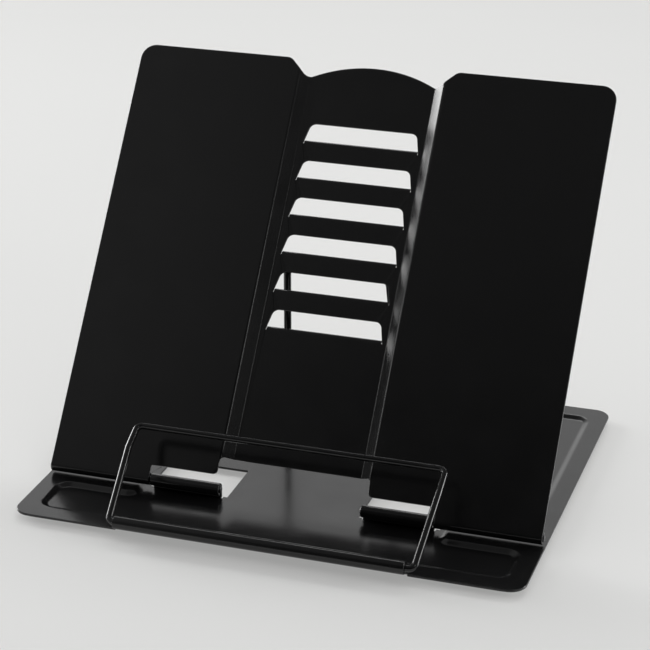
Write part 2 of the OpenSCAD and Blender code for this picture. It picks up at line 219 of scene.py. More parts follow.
class WireSizes(bpy.types.PropertyGroup):
    """Sizes of the page holder and of the support strut."""

    holder_r: length("Holder wire radius", 1.4, "Radius of the page holder's wire")
    holder_tail: length("Holder tail", 20.0, "Length of wire inside each end of the hem")
    holder_shift: length("Holder shift", 0.5, "How far the page holder has slid sideways")
    holder_leg_x: length("Leg distance", 62.4, "From the middle to a leg's foot")
    holder_foot_r: length("Foot bend", 2.3, "Bend radius beside the hem")
    holder_spread: length("Leg spread", 2.0, "How far a leg spreads outward up to its kink")
    kink_back: length("Kink back", 26.8, "How far the kink lies behind the hem")
    kink_up: length("Kink height", 19.7, "Height of the kink above the hem")
    kink_r: length("Kink bend", 7.0, "Bend radius of the kink")
    bar_back: length("Bar back", 10.3, "How far the top bar lies behind the kink")
    bar_up: length("Bar rise", 5.2, "Height of the top bar above the kink")
    bar_r: length("Bar bend", 2.5, "Bend radius of the top bar's corners")
    strut_r: length("Strut wire radius", 1.6, "Radius of the strut's wire")
    strut_end_x: length("Strut end", 44.5, "From the middle to the strut's ends")
    strut_foot_w: length("Strut foot width", 52.0, "Distance between the strut's legs at the feet")
    strut_top_w: length("Strut top width", 44.0, "Distance between the strut's legs at the crossbar")
    strut_up: length("Crossbar height", 97.7, "Height of the crossbar up the panel")
    strut_back: length("Crossbar back", 3.85, "Distance of the crossbar behind the hinge line's plane")
    strut_bend: length("Strut bend", 4.5, "Bend radius of the strut's wire")
    tip: length("Wire tip", 0.4, "Rounding of a cut wire end")
    tip_steps: count("Tip steps", 3, "Flats in the rounding of a cut wire end")
    sides: count("Wire sides", 28, "Flats round a wire")
    bend_steps: count("Bend steps", 14, "Rings in a bend")


class RoundSizes(bpy.types.PropertyGroup):
    """Shape of the pins and feet, as shares of the sizes that their nodes have."""

    sides: count("Sides", 40, "Flats round a pin or foot")
    pin_soft: share("Pin rounding", 0.4, "Rounding of a pin's ends, in its radius")
    pin_steps: count("Pin steps", 6, "Flats in the rounding of a pin's end")
    foot_soft: share("Foot rounding", 1 / 3, "Rounding of a foot's edge and depth of its dish, in its height")
    foot_steps: count("Foot steps", 4, "Flats in the rounding of a foot's edge")
    dish_top: share("Dish top", 0.5, "Radius of the dish's flat top, in the foot's")
    dish_knee: share("Dish knee", 0.62, "Radius of the bend in the dish's wall, in the foot's")
    dish_mouth: share("Dish mouth", 0.68, "Radius of the dish's mouth, in the foot's")
    knee_height: share("Knee height", 1 / 3, "Height of the bend in the dish's wall, in the dish's depth")


class Finish(bpy.types.PropertyGroup):
    """Colours, gloss and grain of the finishes. A scale counts features in a metre."""

    paint: colour("Paint", (0.0058, 0.0058, 0.0060), "the sheet's paint")
    paint_pale: colour("Pale paint", (0.0074, 0.0074, 0.0077), "the sheet's rubbed paint")
    # The cut edges' paint and its worn patches are much lighter than the faces' paint: partly thin, worn
    # paint and partly a painted highlight along the edges
    rim: colour("Rim paint", (0.016, 0.016, 0.0165), "the paint on cut edges")
    rim_worn_and_highlight: colour("Worn rim", (0.11, 0.11, 0.115), "a cut edge that shows through its paint")
    wire: colour("Wire paint", (0.0065, 0.0065, 0.0068), "the wires' paint")
    wire_worn: colour("Worn wire", (0.02, 0.02, 0.021), "the wires' rubbed paint")
    steel: colour("Steel", (0.075, 0.075, 0.078), "the blackened pins")
    steel_dark: colour("Dark steel", (0.04, 0.04, 0.042), "the pins in their drawn lines")
    rubber: colour("Rubber", (0.018, 0.018, 0.018), "the feet")
    rubber_pale: colour("Pale rubber", (0.035, 0.035, 0.034), "the feet where they are dusty")
    sheet_wear: stretch("Sheet wear", (0.55, 0.75), "Noise where the sheet's paint turns rubbed")
    rim_wear_and_highlight: stretch("Rim wear", (0.5, 0.8), "Noise where a cut edge turns worn")
    wire_wear: stretch("Wire wear", (0.58, 0.75), "Noise where the wires' paint turns rubbed")
    steel_lines: stretch("Steel lines", (0.35, 0.65), "Noise where the pins turn dark")
    rubber_dust: stretch("Rubber dust", (0.45, 0.7), "Noise where the feet turn dusty")
    sheet_rough: stretch("Sheet roughness", (0.16, 0.22), "Roughness of the sheet's paint")
    wire_rough: stretch("Wire roughness", (0.09, 0.15), "Roughness of the wires' paint")
    steel_rough: stretch("Steel roughness", (0.22, 0.38), "Roughness of the pins")
    rubber_rough: stretch("Rubber roughness", (0.65, 0.85), "Roughness of the feet")
    wear_scale: number("Wear scale", 24.0, "Rubbed patches of the paint")
    gloss_scale: number("Gloss scale", 60.0, "Patches of uneven gloss in the paint")
    peel_scale: number("Peel scale", 420.0, "Waves of the paint's orange peel")
    grain_scale: number("Grain scale", 2600.0, "Grains of the paint")
    line_along: number("Line scale along", 40.0, "Drawn lines along a pin")
    line_across: number("Line scale across", 3000.0, "Drawn lines across a pin")
    dust_scale: number("Dust scale", 300.0, "Patches of dust on the feet")
    matt_scale: number("Matt scale", 900.0, "Patches of uneven gloss on the feet")
    mould_scale: number("Mould scale", 3000.0, "Grains of the moulded feet")
    paint_bump: share("Paint bump", 0.12, "Strength of the paint's bumps")
    steel_bump: share("Steel bump", 0.2, "Strength of the pins' lines")
    rubber_bump: share("Rubber bump", 0.3, "Strength of the feet's grain")
    peel_depth: length("Peel depth", 0.04, "Depth of the orange peel")
    grain_depth: length("Grain depth", 0.02, "Depth of the paint's grain")
    line_depth: length("Line depth", 0.02, "Depth of the pins' lines")
    mould_depth: length("Mould depth", 0.03, "Depth of the feet's grain")


class Studio(bpy.types.PropertyGroup):
    """Floor, walls and camera. An edge is where a wall's light comes up, as the Y or X of a direction."""

    floor: colour("Floor", (0.80, 0.80, 0.79), "the floor")
    floor_shade: share("Floor shade", 0.98, "Brightness of the floor's darker patches, in its colour")
    floor_scale: number("Floor scale", 3.0, "Patches of the floor in a metre")
    floor_rough: share("Floor roughness", 0.7, "Roughness of the floor")
    floor_half: length("Floor half", 8000.0, "Half the floor's width")
    floor_glow: share("Floor glow", 0.4, "Share of the floor that shows its own pale colour, shadow or not")
    sky_low: share("Low front light", 0.02, "Brightness of the studio low behind the camera")
    sky_front: share("Front light", 0.13, "Brightness of the studio above the camera")
    sky_left: share("Left light", 0.17, "How much brighter the studio's left side is")
    sky_rear: share("Rear light", 0.72, "How much brighter the studio is behind the stand")
    front_edge: stretch("Front edge", (-0.7, -0.58), "Y from the low front light to the front light")
    rear_edge: stretch("Rear edge", (0.45, 0.8), "Y over which the rear light comes up")
    left_edge: stretch("Left edge", (-0.28, -0.37), "X over which the left light comes up")
    camera_place: place("Camera", (0.2552, -0.7943, 0.4111), "Place of the camera")
    camera_aim: place("Aim", (0.01508, -0.04664, 0.08589), "Point that the camera looks at")
    camera_roll: angle("Roll", 0.26, "Turn of the camera about its own line of sight")
    camera_lens: number("Lens", 122.2, "Focal length in millimetres, on a sensor 36 wide")


# Soft boxes: places and sizes in metres, power in watts, spread in degrees
STAND_MIDDLE = (0.0, 0.0, 0.07)
ORIGIN = (0.0, 0.0, 0.0)
LAMP_DEFAULTS = (STAND_MIDDLE, 180.0, True)
Lamp = namedtuple("Lamp", "name spot wide high power aim spread reflected", defaults=LAMP_DEFAULTS)
LAMPS = (
    # Small boxes for glints on bends and rims
    Lamp("right box", spot=(0.9, -0.7, 0.95), wide=0.3, high=0.3, power=0.85),
    Lamp("left box", spot=(-1.19, -0.28, 0.63), wide=0.25, high=0.25, power=0.8),
    # Gridded strips for the bright lines on the wires, which spare the floor under them
    Lamp("left strip", spot=(-1.96, 0.83, 0.55), wide=1.0, high=0.96, power=6.0, spread=70.0),
    Lamp("right strip", spot=(1.96, 0.83, 0.55), wide=1.0, high=0.96, power=4.2, spread=70.0),
    Lamp("rear box", spot=(0.0, 1.3, 1.35), wide=1.6, high=0.5, power=8.0, aim=ORIGIN),
    # Overhead light for the floor, kept out of the paint's reflections
    Lamp("top box", spot=(0.0, 0.0, 2.4), wide=3.0, high=3.0, power=12.5, aim=ORIGIN, reflected=False),
)


GROUPS = {
    "stand_sheet": SheetSizes,
    "stand_base": BaseSizes,
    "stand_panel": PanelSizes,
    "stand_wire": WireSizes,
    "stand_round": RoundSizes,
    "stand_finish": Finish,
    "stand_studio": Studio,
}


def chosen(name):
    """The values that are set in one of the scene's groups."""
    return getattr(bpy.context.scene, "stand_" + name)


def new_object(name, data):
    """A new object in the scene."""
    made = bpy.data.objects.new(name, data)
    bpy.context.scene.collection.objects.link(made)
    return made


# Outlines


def fillet(before, corner, after, radius, steps):
    """Points of the arc that rounds a corner, on a plane or in space."""
    p = (before - corner).normalized()
    q = (after - corner).normalized()
    half = p.angle(q) / 2
    centre = corner + (p + q).normalized() * (radius / math.sin(half))
    start = corner + p * (radius / math.tan(half)) - centre
    end = corner + q * (radius / math.tan(half)) - centre
    turn = math.pi - 2 * half
    parts = [(math.sin(turn * (1 - i / steps)), math.sin(turn * i / steps)) for i in range(steps + 1)]
    return [centre + (start * a + end * b) / math.sin(turn) for a, b in parts]


def rounded_loop(corners, radii, steps):
    """Closed outline with each corner rounded to its own radius, or left sharp at 0."""
    points = []
    for i, (corner, radius) in enumerate(zip(corners, radii)):
        after = corners[(i + 1) % len(corners)]
        points += fillet(corners[i - 1], corner, after, radius, steps) if radius else [corner.copy()]
    return points


def mirrored_x(points):
    """The same points on the other side of the middle, in reverse order."""
    return [Vector((-p.x, *p[1:])) for p in reversed(points)]


def both_halves(points):
    """A run of points and its mirror image on the other side of the middle."""
    return points + mirrored_x(points)


def even_loop(right, radii):
    """Closed outline with like halves, from the corners of its right-hand half and their radii."""
    return rounded_loop(both_halves(right), radii + radii[::-1], chosen("sheet").arc_steps)


def soft_edge(radius, soft, flats):
    """Rounded end of something round, from its flat out to its full radius: pairs of radius and depth."""
    turns = [math.pi / 2 * i / flats for i in range(flats + 1)]
    return [(radius - soft * (1 - math.sin(a)), soft * (1 - math.cos(a))) for a in turns]


def soft_step(t):
    """Rises from 0 to 1 with level ends."""
    return t * t * (3 - 2 * t)


def circle_profile(centre, radius, start, end, step):
    """Points of an arc from one angle to another, in flats of about the step."""
    flats = max(2, round(abs(end - start) / step))
    angles = [start + (end - start) * i / flats for i in range(flats + 1)]
    return [Vector((centre[0] + radius * math.cos(a), centre[1] + radius * math.sin(a))) for a in angles]


def crosses(point, loop):
    """How often a line from the point toward +X crosses a closed outline."""
    times = 0
    for a, b in zip(loop, loop[1:] + loop[:1]):
        if (a.y > point.y) != (b.y > point.y):
            times += a.x + (point.y - a.y) * (b.x - a.x) / (b.y - a.y) > point.x
    return times


# Sheet metal


def add_flat(sheet, loops, lift, lines=()):
    """Fills the region between closed outlines, cut along extra lines, and lifts it off the plane."""
    points = []
    edges = []
    for loop in loops:
        first = len(points)
        points += loop
        edges += [(first + i, first + (i + 1) % len(loop)) for i in range(len(loop))]
    for a, b in lines:
        edges.append((len(points), len(points) + 1))
        points += [a, b]
    found, _, faces = delaunay_2d_cdt(points, edges, [], 0, WELD)[:3]
    verts = [None] * len(found)
    for face in faces:
        middle = sum((found[i] for i in face), Vector((0, 0))) / len(face)
        if sum(crosses(middle, loop) for loop in loops) % 2 == 0:
            continue
        for i in face:
            verts[i] = verts[i] or sheet.verts.new(lift(found[i]))
        u = found[face[1]] - found[face[0]]
        v = found[face[2]] - found[face[0]]
        order = face if u.x * v.y > u.y * v.x else reversed(face)
        sheet.faces.new([verts[i] for i in order])


def add_strip(sheet, profile, x0, x1, turned=False):
    """Sheet that follows a profile of y and z between x0 and x1. A turned strip shows its other side."""
    rows = [[sheet.verts.new((x, p[0], p[1])) for x in (x0, x1)] for p in profile]
    for (a, b), (d, c) in zip(rows, rows[1:]):
        sheet.faces.new((d, c, b, a) if turned else (a, b, c, d))


def join_rings(mesh, rings):
    """Faces between closed rings of equal length."""
    for a, b in zip(rings, rings[1:]):
        for i in range(len(a)):
            k = (i + 1) % len(a)
            mesh.faces.new((a[i], a[k], b[k], b[i]))


def add_lanced_curl(sheet, axis, radius, x0, x1, side):
    """Tab that turns up from the pan and curls over an axis: from behind it or, at side -1, from its front.

    Its visible face is the pan's top face run on. Returns the places of its root and of its rear face.
    """
    b, s = chosen("base"), chosen("sheet")
    face_r = radius - s.thickness if side > 0 else radius
    rise = axis.x + side * face_r
    root = rise - s.foot_bend
    start = 0 if side > 0 else math.pi
    profile = circle_profile((root, s.foot_bend - b.pan_depth), s.foot_bend, -math.pi / 2, 0, s.roll_step)
    profile += circle_profile(axis, face_r, start, start + side * b.curl_sweep, s.roll_step)
    add_strip(sheet, profile, x0, x1)
    add_strip(sheet, profile, -x1, -x0)
    return root, rise + s.thickness


def lanced_hole(root, rear, y1, x0, x1):
    """Outlines of the left and right holes that such tabs leave, with a narrow cut beside each tab's root."""
    b = chosen("base")
    right = [(x0, root), (x1, root), (x1 + b.kerf, root), (x1 + b.kerf, rear), (x1 + b.relief, rear)]
    right += [(x1 + b.relief, y1), (x0 - b.relief, y1)]
    right += [(x0 - b.relief, rear), (x0 - b.kerf, rear), (x0 - b.kerf, root)]
    right = [Vector(p) for p in right]
    return [right, mirrored_x(right)]


def sheet_piece(name, sheet, matrix, body, node):
    """Gives a built surface its thickness, rounded rims and paint, and puts it in its node's place."""
    s = chosen("sheet")
    bmesh.ops.remove_doubles(sheet, verts=sheet.verts, dist=WELD)
    sheet.transform(matrix)
    piece = new_piece(name, sheet, [painted_sheet(), rim_paint_and_highlight()], body, node)
    solid = piece.modifiers.new("Thickness", "SOLIDIFY")
    solid.thickness = s.thickness
    solid.offset = -1.0
    solid.use_even_offset = True
    # The rims take the second paint, whose lighter tone is partly a painted highlight along the cut edges
    solid.material_offset_rim = 1
    bevel = piece.modifiers.new("Rounded rims", "BEVEL")
    bevel.width = s.rim_round
    bevel.segments = s.rim_steps
    bevel.limit_method = "ANGLE"
    bevel.angle_limit = s.rim_angle
    bevel.use_clamp_overlap = False
    bevel.miter_outer = "MITER_ARC"
    even = piece.modifiers.new("Even shading", "WEIGHTED_NORMAL")
    even.keep_sharp = True
    return piece


def new_piece(name, built, materials, body, node):
    """Turns a built mesh into a smooth piece that stands for a node and moves with its body."""
    mesh = bpy.data.meshes.new(name)
    built.to_mesh(mesh)
    built.free()
    mesh.shade_smooth()
    for material in materials:
        mesh.materials.append(material)
    piece = new_object(name, mesh)
    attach(piece, body)
    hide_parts(node)
    return piece


# Wire, pins and feet


def wire_path(corners, radii):
    """Middle line of a bent wire, with the bend radius of each inner corner."""
    steps = chosen("wire").bend_steps
    path = [corners[0]]
    for i, radius in enumerate(radii, 1):
        path += fillet(corners[i - 1], corners[i], corners[i + 1], radius, steps)
    return path + [corners[-1]]


def add_tube(mesh, path, radius):
    """Round wire along a path, its two cut ends rounded over."""
    w = chosen("wire")
    lines = [(b - a).normalized() for a, b in zip(path, path[1:])]
    aims = [lines[0]] + [(a + b).normalized() for a, b in zip(lines, lines[1:])] + [lines[-1]]
    tip = soft_edge(radius, w.tip, w.tip_steps)
    stations = [(path[0] + aims[0] * depth, r, aims[0]) for r, depth in tip]
    stations += [(p, radius, aim) for p, aim in zip(path[1:-1], aims[1:-1])]
    stations += [(path[-1] - aims[-1] * depth, r, aims[-1]) for r, depth in reversed(tip)]
    turns = [2 * math.pi * i / w.sides for i in range(w.sides)]
    side = aims[0].orthogonal().normalized()
    last = aims[0]
    rings = []
    for centre, r, aim in stations:
        side = last.rotation_difference(aim) @ side
        last = aim
        other = aim.cross(side)
        rings.append([mesh.verts.new(centre + (side * math.cos(t) + other * math.sin(t)) * r) for t in turns])
    join_rings(mesh, rings)
    mesh.faces.new(rings[0][::-1])
    mesh.faces.new(rings[-1])


def wire_piece(name, corners, radii, wire_r, body, node):
    """Bends a painted wire round its corners and puts it in its node's place."""
    mesh = bmesh.new()
    add_tube(mesh, wire_path(corners, radii), wire_r)
    new_piece(name, mesh, [painted_wire()], body, node)


def add_lathe(mesh, profile, sides, matrix):
    """Round piece about its own Z axis, from a profile of radius and height that runs from pole to pole."""
    poles = [mesh.verts.new(matrix @ Vector((0, 0, profile[i][1]))) for i in (0, -1)]
    turns = [2 * math.pi * i / sides for i in range(sides)]
    rings = [
        [mesh.verts.new(matrix @ Vector((r * math.cos(t), r * math.sin(t), z))) for t in turns]
        for r, z in profile[1:-1]
    ]
    join_rings(mesh, rings)
    for i in range(sides):
        k = (i + 1) % sides
        mesh.faces.new((poles[0], rings[0][k], rings[0][i]))
        mesh.faces.new((poles[1], rings[-1][i], rings[-1][k]))


# Finishes


def add_node(tree, kind, values=None, **settings):
    """A new shader node with its settings and the values of its inputs."""
    made = tree.nodes.new(kind)
    for key, value in settings.items():
        setattr(made, key, value)
    for key, value in (values or {}).items():
        made.inputs[key].default_value = value
    return made


def blank_finish(name):
    """A new material: its tree, its shader and its coordinates."""
    material = bpy.data.materials.new(name)
    material.use_nodes = True
    tree = material.node_tree
    shader = tree.nodes["Principled BSDF"]
    where = add_node(tree, "ShaderNodeTexCoord").outputs["Object"]
    return material, tree, shader, where


def noise(tree, where, scale, detail=3.0, roughness=0.55):
    """Soft cloud of noise."""
    made = add_node(tree, "ShaderNodeTexNoise", {"Scale": scale, "Detail": detail, "Roughness": roughness})
    tree.links.new(where, made.inputs["Vector"])
    return made.outputs["Fac"]


def spread(tree, value, inside, outside=(0.0, 1.0)):
    """Maps a stretch of a value onto another stretch, with soft ends."""
    ends = {"From Min": inside[0], "From Max": inside[1], "To Min": outside[0], "To Max": outside[1]}
    made = add_node(tree, "ShaderNodeMapRange", ends, interpolation_type="SMOOTHSTEP")
    tree.links.new(value, made.inputs["Value"])
    return made.outputs["Result"]


def combined(tree, operation, first, others):
    """Runs a value together with others by one operation."""
    for other in others:
        made = add_node(tree, "ShaderNodeMath", operation=operation)
        tree.links.new(first, made.inputs[0])
        tree.links.new(other, made.inputs[1])
        first = made.outputs[0]
    return first


def mixed(tree, factor, first, second):
    """A colour between two colours."""
    made = add_node(tree, "ShaderNodeMix", data_type="RGBA")
    made.inputs[MIX_FIRST].default_value = (*first, 1.0)
    made.inputs[MIX_SECOND].default_value = (*second, 1.0)
    tree.links.new(factor, made.inputs[MIX_FACTOR])
    return made.outputs[MIX_RESULT]


def dress(tree, shader, tone, rough, heights):
    """Links a shader's colour, roughness and bumps, each a height with its strength and depth in metres."""
    tree.links.new(tone, shader.inputs["Base Color"])
    tree.links.new(rough, shader.inputs["Roughness"])
    normal = None
    for height, strength, depth in heights:
        made = add_node(tree, "ShaderNodeBump", {"Strength": strength, "Distance": depth})
        tree.links.new(height, made.inputs["Height"])
        if normal:
            tree.links.new(normal, made.inputs["Normal"])
        normal = made.outputs["Normal"]
    tree.links.new(normal, shader.inputs["Normal"])


def paint(name, base, rubbed, wear, rough):
    """Sprayed and baked paint: two near tones, uneven gloss, a fine grain and a slow orange peel. On the cut
    edges the second tone is much lighter, partly a painted highlight.
    """
    f = chosen("finish")
    material, tree, shader, where = blank_finish(name)
    patches = spread(tree, noise(tree, where, f.wear_scale, detail=4.0), wear)
    gloss = spread(tree, noise(tree, where, f.gloss_scale, detail=5.0, roughness=0.6), NOISE_REACH, rough)
    peel = noise(tree, where, f.peel_scale, detail=1.0)
    grain = noise(tree, where, f.grain_scale, detail=2.0)
    bumps = [(peel, f.paint_bump, f.peel_depth), (grain, f.paint_bump, f.grain_depth)]
    dress(tree, shader, mixed(tree, patches, base, rubbed), gloss, bumps)
    return material


def kept(name, make, *looks):
    """A finish that is made once and shared."""
    return bpy.data.materials.get(name) or make(name, *looks)


def painted_sheet():
    """Semi-gloss black paint of the two sheets."""
    f = chosen("finish")
    return kept("black_sheet_paint", paint, f.paint, f.paint_pale, f.sheet_wear, f.sheet_rough)


def rim_paint_and_highlight():
    """The same paint on the cut edges, lighter: thin paint that shows some steel, and partly a painted
    highlight along the edges.
    """
    f = chosen("finish")
    return kept("black_rim_paint", paint, f.rim, f.rim_worn_and_highlight, f.rim_wear_and_highlight, f.sheet_rough)


def painted_wire():
    """Gloss black paint of the wires."""
    f = chosen("finish")
    return kept("black_wire_paint", paint, f.wire, f.wire_worn, f.wire_wear, f.wire_rough)


def drawn_steel(name):
    """Blackened steel rod with fine lines along its length."""
    f = chosen("finish")
    material, tree, shader, where = blank_finish(name)
    drawn = add_node(tree, "ShaderNodeMapping", {"Scale": (f.line_along, f.line_across, f.line_across)})
    tree.links.new(where, drawn.inputs["Vector"])
    lines = noise(tree, drawn.outputs["Vector"], scale=1.0, detail=4.0)
    tone = mixed(tree, spread(tree, lines, f.steel_lines), f.steel, f.steel_dark)
    rough = spread(tree, lines, NOISE_REACH, f.steel_rough)
    dress(tree, shader, tone, rough, [(lines, f.steel_bump, f.line_depth)])
    shader.inputs["Metallic"].default_value = 1.0
    return material


def foot_rubber(name):
    """Matt moulded rubber with a little dust."""
    f = chosen("finish")
    material, tree, shader, where = blank_finish(name)
    dust = spread(tree, noise(tree, where, f.dust_scale, detail=5.0), f.rubber_dust)
    matt = spread(tree, noise(tree, where, f.matt_scale), NOISE_REACH, f.rubber_rough)
    grain = noise(tree, where, f.mould_scale)
    tone = mixed(tree, dust, f.rubber, f.rubber_pale)
    dress(tree, shader, tone, matt, [(grain, f.rubber_bump, f.mould_depth)])
    return material


# The pieces


def base_place():
    """The base's own frame: the middle of the hem's front, level with the top face of the border."""
    low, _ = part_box("base_plate")
    border = low.z + chosen("sheet").thickness + chosen("base").pan_depth
    return Vector((0, low.y, border))


def in_base(joint):
    """A joint's axis in the base's own frame, as y and z."""
    spot = Vector(JOINTS[joint]["pos_m"]) - base_place()
    return Vector((spot.y, spot.z))


def border_front():
    """Front edge of the border, in line with the front face of the hem's upright part."""
    b, s = chosen("base"), chosen("sheet")
    return in_base("page_holder_swing").x + b.hem_r - s.thickness


def pan_outline(inset):
    """Rim of the sunk pan, drawn in by an inset: wide in front and behind, narrow between the lands."""
    b = chosen("base")
    low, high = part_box("base_plate")
    half = high.x - b.pan_side
    hinge_y = in_base("panel_tilt").x
    y0, y1 = hinge_y - b.land_d / 2, hinge_y + b.land_d / 2
    front, rear = border_front() + b.pan_front, high.y - low.y - b.pan_rear
    outer, inner = b.pan_corner_r - inset, b.pan_inner_r + inset
    # Each corner of the right-hand half: its place at the rim, which way in is, and its radius
    right = [
        (half, front, 1, outer),
        (half, y0, -1, outer),
        (b.land_x, y0, -1, inner),
        (b.land_x, y1, 1, inner),
        (half, y1, 1, outer),
        (half, rear, -1, outer),
    ]
    corners = [Vector((x - inset, y + inward * inset)) for x, y, inward, _ in right]
    return even_loop(corners, [radius for *_, radius in right])


def base_outline(hem_root):
    """Outline of the base, cut back along the root of the hem."""
    b = chosen("base")
    low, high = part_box("base_plate")
    front = border_front()
    hem = b.hem_w / 2
    right = [(hem, hem_root, 0), (hem + b.kerf, hem_root, 0), (hem + b.kerf, front, 0)]
    right += [(high.x, front, b.corner_r), (high.x, high.y - low.y, b.corner_r)]
    return even_loop([Vector((x, y)) for x, y, _ in right], [radius for *_, radius in right])


def build_base():
    """The base: pan, hem, hinge knuckles and strut curls from one sheet."""
    b, s = chosen("base"), chosen("sheet")
    sheet = bmesh.new()
    hinge, strut, hem = in_base("panel_tilt"), in_base("strut_fold"), in_base("page_holder_swing")
    steps = [i / b.pan_steps for i in range(b.pan_steps + 1)]
    walls = [[(*p, -b.pan_depth * soft_step(t)) for p in pan_outline(b.pan_wall * t)] for t in steps]
    join_rings(sheet, [[sheet.verts.new(p) for p in loop] for loop in walls])
    holes = []
    lanced = [
        (hinge, 1, b.knuckle_r, b.knuckle_x, b.knuckle_len, b.knuckle_hole),
        (strut, -1, b.curl_r, b.curl_x, b.curl_len, b.curl_hole),
    ]
    for axis, side, radius, x0, long, reach in lanced:
        root, rear = add_lanced_curl(sheet, axis, radius, x0, x0 + long, side)
        holes += lanced_hole(root, rear, axis.x + reach, x0, x0 + long)
    add_flat(sheet, [pan_outline(b.pan_wall), *holes], lambda p: (*p, -b.pan_depth))
    hem_root = hem.x + b.hem_r + s.foot_bend
    roll = circle_profile((hem_root, s.foot_bend), s.foot_bend, -math.pi / 2, -math.pi, s.roll_step)
    roll += circle_profile(hem, b.hem_r, 0, b.curl_sweep, s.roll_step)
    add_strip(sheet, roll, -b.hem_w / 2, b.hem_w / 2, turned=True)
    add_flat(sheet, [base_outline(hem_root), pan_outline(0)], lambda p: (*p, 0))
    sheet_piece("base_sheet", sheet, Matrix.Translation(base_place()), "base", "base_plate")


def channel_profile():
    """Front face across the panel, from the right-hand edge of the channel to its floor: x and height."""
    p, s = chosen("panel"), chosen("sheet")
    floor_z = p.front - p.channel_depth
    far = Vector((p.channel_w, p.front))
    mouth = Vector((p.channel_w / 2, p.front))
    foot = Vector((p.channel_floor / 2, floor_z))
    middle = Vector((0, floor_z))
    upper = fillet(far, mouth, foot, p.channel_bend + s.thickness, s.bend_steps)
    return upper + fillet(mouth, foot, middle, p.channel_bend, s.bend_steps)


def panel_outline(edge):
    """Outline of the panel seen from its front, above the hinge line."""
    p, s = chosen("panel"), chosen("sheet")
    steps, tight = s.arc_steps, s.bend_steps
    inner = p.channel_w / 2 + p.window_margin
    hump_c = p.height - p.hump_drop - p.hump_r
    valley = Vector((p.channel_floor / 2 + p.valley_out, p.height - p.valley_drop))
    hump_half = math.asin((valley.x - p.valley_run * p.valley_r) / p.hump_r)
    hump_start, hump_end = math.pi / 2 - hump_half, math.pi / 2 + hump_half
    hump = circle_profile((0, hump_c), p.hump_r, hump_start, hump_end, 2 * hump_half / p.hump_steps)
    crest = Vector((valley.x + p.shoulder_w, p.height))
    far_sill, sill = Vector((-inner, p.window_h)), Vector((inner, p.window_h))
    notch, heel = Vector((inner, p.notch_h)), Vector((p.knuckle_x, p.notch_h))
    foot, corner = Vector((edge, 0)), Vector((edge, p.height))
    right = fillet(far_sill, sill, notch, p.window_r, tight) + fillet(sill, notch, heel, p.notch_r, tight)
    right += [heel, Vector((p.knuckle_x, 0)), foot]
    right += fillet(foot, corner, crest, p.corner_r, steps)
    right += fillet(corner, crest, valley, p.shoulder_r, steps)
    right += fillet(crest, valley, hump[0], p.valley_r, steps)
    return right + hump + mirrored_x(right)


def slot_outline(y, tab_half):
    """Slot whose bottom edge, with the root of its tab, lies at a height."""
    p = chosen("panel")
    corners = [Vector((tab_half, y)), Vector((p.slot_w / 2, y)), Vector((p.slot_top / 2, y + p.slot_h))]
    return even_loop(corners, [0, 0, p.slot_r])


def add_tab(sheet, y, half):
    """Tab that bends back from a slot's bottom edge and ends in round corners."""
    p, s = chosen("panel"), chosen("sheet")
    radius = p.channel_bend + s.thickness
    face = p.front - p.channel_depth
    start = math.pi / 2
    bend = circle_profile((y, face - radius), radius, start, start - p.tab_bend, s.roll_step)
    add_strip(sheet, bend, -half, half)
    root = bend[-1]
    aim = Vector((math.cos(p.tab_bend), -math.sin(p.tab_bend)))
    tip = p.slot_top / 2 - p.tab_kerf
    outline = [Vector((half, 0)), Vector((tip, p.tab_len)), Vector((-tip, p.tab_len)), Vector((-half, 0))]
    loop = rounded_loop(outline, [0, p.slot_r, p.slot_r, 0], s.arc_steps)
    sheet.faces.new([sheet.verts.new((q.x, *(root + aim * q.y))) for q in loop])


def build_panel():
    """The back panel: wings, channel, slots, tabs and rolled knuckles from one sheet."""
    p, s = chosen("panel"), chosen("sheet")
    sheet = bmesh.new()
    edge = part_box("back_panel")[1].x
    profile = channel_profile()
    tab_half = p.slot_w / 2 - p.tab_kerf

    def lift(point):
        """Height of the front face over a point of the outline's plane."""
        x = abs(point.x)
        if x >= profile[0].x:
            return (*point, profile[0].y)
        for a, b in zip(profile, profile[1:]):
            if x >= b.x:
                return (*point, b.y + (a.y - b.y) * (x - b.x) / max(a.x - b.x, WELD))
        return (*point, profile[-1].y)

    over = p.slot_pitch
    inner = p.channel_w / 2 + p.window_margin
    clear = p.notch_h + 2 * p.notch_r
    stations = [side * q.x for q in profile for side in (1, -1)]
    starts = [clear if abs(x) > inner - WELD else -over for x in stations]
    lines = [(Vector((x, y)), Vector((x, p.height + over))) for x, y in zip(stations, starts)]
    heights = [p.slot_first + k * p.slot_pitch for k in range(p.slot_count)]
    add_flat(sheet, [panel_outline(edge)] + [slot_outline(y, tab_half) for y in heights], lift, lines)
    for y in heights:
        add_tab(sheet, y, tab_half)
    roll = circle_profile((0, 0), p.front, math.pi / 2, math.pi / 2 + p.roll_sweep, s.roll_step)
    add_strip(sheet, roll, p.knuckle_x, edge, turned=True)
    add_strip(sheet, roll, -edge, -p.knuckle_x, turned=True)
    bmesh.ops.remove_doubles(sheet, verts=sheet.verts, dist=WELD)
    bmesh.ops.remove_doubles(sheet, verts=[v for v in sheet.verts if v.is_boundary], dist=RIM_WELD)
    hinge = Vector(JOINTS["panel_tilt"]["pos_m"])
    lean = Matrix.Translation(hinge) @ Matrix.Rotation(math.pi / 2 - p.lean, 4, "X")
    sheet_piece("panel_sheet", sheet, lean, "panel", "back_panel")


